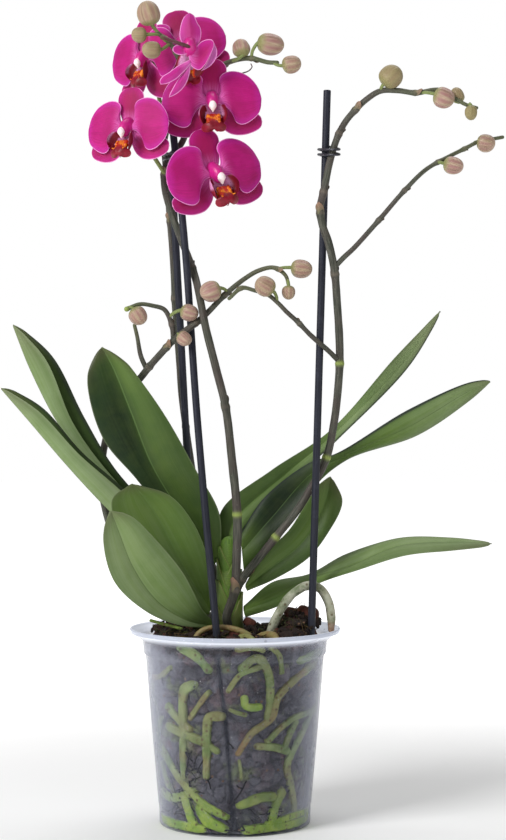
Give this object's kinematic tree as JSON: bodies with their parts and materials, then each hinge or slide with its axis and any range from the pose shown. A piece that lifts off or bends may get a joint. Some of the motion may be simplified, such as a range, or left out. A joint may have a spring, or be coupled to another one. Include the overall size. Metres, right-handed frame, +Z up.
{
  "type": "potted orchid",
  "caption": "Moth orchid in a clear grower's pot, with strap leaves, staked arching flower spikes, open magenta blooms and closed buds.",
  "frame": {"origin": "centre of the pot's base, on the surface it stands on", "axes": "+Z up; -Y is the side the picture is taken from; +X is to that viewer's right"},
  "size_m": [0.2872, 0.12, 0.4714],
  "materials": {
    "clear_pot": "clear, thin, slightly hazy",
    "bark": "rough, damp chips and peat",
    "stake": "dark, satin",
    "clip_wire": "smooth",
    "green_stem": null,
    "root": null,
    "aerial_root": null,
    "flower_stem": null,
    "leaf": null,
    "tepal": null,
    "lip": null
  },
  "bodies": {
    "root": {"pot": "clear_pot", "bark_and_peat": "bark", "stake_left": "stake", "stake_front": "stake", "stake_right": "stake", "clip_left": "clip_wire", "clip_right": "clip_wire", "stem_base": "green_stem", "roots": "root", "aerial_root": "aerial_root", "spike_front": "flower_stem", "spike_back": "flower_stem", "spike_right": "flower_stem", "spike_left": "flower_stem", "leaf_left_front": "leaf", "leaf_left_olive": "leaf", "leaf_left_tall": "leaf", "leaf_left_high": "leaf", "leaf_left_low": "leaf", "leaf_right_high": "leaf", "leaf_right_middle": "leaf", "leaf_right_paddle": "leaf", "leaf_right_low": "leaf", "bloom_centre_tepals": "tepal", "bloom_centre_lip": "lip", "bloom_low_tepals": "tepal", "bloom_low_lip": "lip", "bloom_left_tepals": "tepal", "bloom_left_lip": "lip", "bloom_far_left_tepals": "tepal", "bloom_far_left_lip": "lip", "bloom_top_tepals": "tepal", "bloom_top_lip": "lip", "bloom_turned_tepals": "tepal", "bloom_turned_lip": "lip"}
  },
  "joints": []
}
